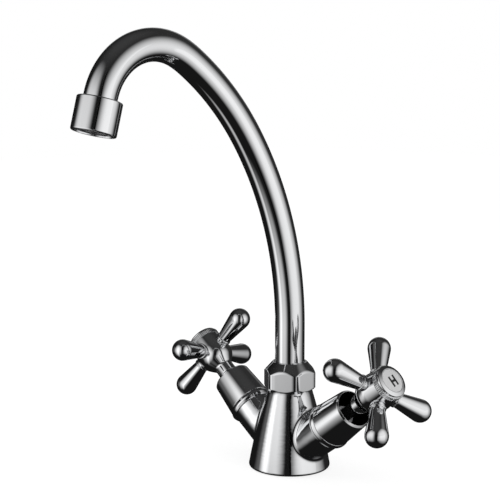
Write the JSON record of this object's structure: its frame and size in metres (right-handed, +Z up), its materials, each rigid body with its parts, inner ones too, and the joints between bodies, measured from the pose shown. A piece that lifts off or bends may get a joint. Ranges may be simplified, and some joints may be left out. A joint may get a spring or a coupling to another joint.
{
  "type": "kitchen faucet",
  "caption": "Deck-mounted kitchen mixer faucet: conical body, cross handles on rising valve branches, and a tall bent tube spout that swivels and ends in an aerator.",
  "frame": {"origin": "centre of the underside of the base, on the vertical axis of the body", "axes": "+Z up along the body's axis; the spout points along -Y at rest; the hot valve's branch rises towards +X and the cold valve's towards -X"},
  "size_m": [0.1887, 0.1902, 0.2617],
  "materials": {
    "body_chrome": "polished chrome plate on the brass body casting",
    "spout_chrome": "polished chrome plate on the spout tube and its head",
    "chrome": "polished chrome plate on the nut, valve trim and handles",
    "hot_index": "fine satin disc with the dark letter H",
    "cold_index": "fine satin disc with the dark letter C",
    "brass": "machined, unplated",
    "steel": "stainless screw and clip",
    "ceramic": "lapped ceramic disc",
    "rubber": "moulded seal rubber",
    "glide": "moulded acetal ring",
    "screen": "moulded aerator insert"
  },
  "bodies": {
    "body": {"body_casting": "body_chrome", "base_seal": "rubber", "spout_nut": "chrome", "lower_glide_ring": "glide", "upper_glide_ring": "glide", "hot_bead_ring": "chrome", "hot_sleeve": "chrome", "hot_cartridge": "brass", "hot_seat_seal": "rubber", "hot_fixed_disc": "ceramic", "hot_cartridge_oring": "rubber", "cold_bead_ring": "chrome", "cold_sleeve": "chrome", "cold_cartridge": "brass", "cold_seat_seal": "rubber", "cold_fixed_disc": "ceramic", "cold_cartridge_oring": "rubber"},
    "spout": {"spout_socket": "brass", "spout_seals": "rubber", "spout_tube": "spout_chrome", "outlet_head": "spout_chrome", "aerator_washer": "rubber", "aerator_shell": "chrome", "aerator_screen": "screen", "aerator_diffuser": "screen"},
    "hot_handle": {"hot_spindle": "brass", "hot_moving_disc": "ceramic", "hot_spindle_oring": "rubber", "hot_spindle_clip": "steel", "hot_hub": "chrome", "hot_screw": "steel", "hot_grip_ring": "chrome", "hot_index_cap": "chrome", "hot_index_disc": "hot_index", "hot_arm_1": "chrome", "hot_arm_2": "chrome", "hot_arm_3": "chrome", "hot_arm_4": "chrome"},
    "cold_handle": {"cold_spindle": "brass", "cold_moving_disc": "ceramic", "cold_spindle_oring": "rubber", "cold_spindle_clip": "steel", "cold_hub": "chrome", "cold_screw": "steel", "cold_grip_ring": "chrome", "cold_index_cap": "chrome", "cold_index_disc": "cold_index", "cold_arm_1": "chrome", "cold_arm_2": "chrome", "cold_arm_3": "chrome", "cold_arm_4": "chrome"}
  },
  "joints": [
    {"name": "spout_swivel", "type": "hinge", "parent": "body", "child": "spout", "pos_m": [0, 0, 0.049], "axis": [0, 0, 1], "continuous": true},
    {"name": "hot_turn", "type": "hinge", "parent": "body", "child": "hot_handle", "pos_m": [0, 0, 0.0061], "axis": [0.8007, 0, 0.599], "range_deg": [0, 180]},
    {"name": "cold_turn", "type": "hinge", "parent": "body", "child": "cold_handle", "pos_m": [0, 0, 0.0061], "axis": [-0.8007, 0, 0.599], "range_deg": [0, 180]}
  ]
}
